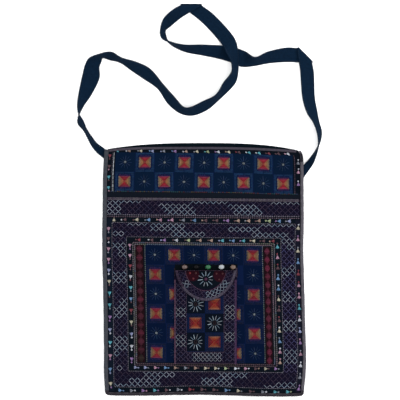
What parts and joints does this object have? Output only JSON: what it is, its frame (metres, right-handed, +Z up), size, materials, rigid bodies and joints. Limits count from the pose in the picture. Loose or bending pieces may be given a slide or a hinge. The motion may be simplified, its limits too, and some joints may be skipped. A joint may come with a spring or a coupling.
{
  "type": "embroidered crossbody bag",
  "caption": "Flat cloth crossbody bag lying on its back, with an embroidered front, bound edges, a beaded flap pocket and a long loose navy strap",
  "frame": {"origin": "on the resting face of the back panel, at the middle of the bag", "axes": "+Z up out of the embroidered front, +Y to the mouth and the strap, +X to the right as seen from the front"},
  "size_m": [0.3562, 0.5694, 0.0243],
  "materials": {
    "back_cloth": "plain dark woven cotton",
    "front_cloth": "near-black navy cotton under silk-like embroidery",
    "binding_cloth": "grey-purple folded binding",
    "braid_cloth": "narrow purple-grey braid",
    "pocket_cloth": "near-black navy cotton under embroidery",
    "bead_peach": "glossy",
    "bead_black": "glossy",
    "bead_green": "glossy",
    "bead_white": "glossy",
    "bead_tan": "glossy",
    "strap_cloth": "navy woven cotton strap"
  },
  "bodies": {
    "root": {"back_panel": "back_cloth", "front_panel": "front_cloth", "front_band": "front_cloth", "edge_binding": "binding_cloth", "mouth_binding": "binding_cloth", "cross_braid": "braid_cloth", "pocket_pouch": "pocket_cloth", "pocket_flap": "pocket_cloth", "pocket_bead_1": "bead_peach", "pocket_bead_2": "bead_black", "pocket_bead_3": "bead_green", "pocket_bead_4": "bead_white", "pocket_bead_5": "bead_tan", "strap": "strap_cloth"}
  },
  "joints": []
}
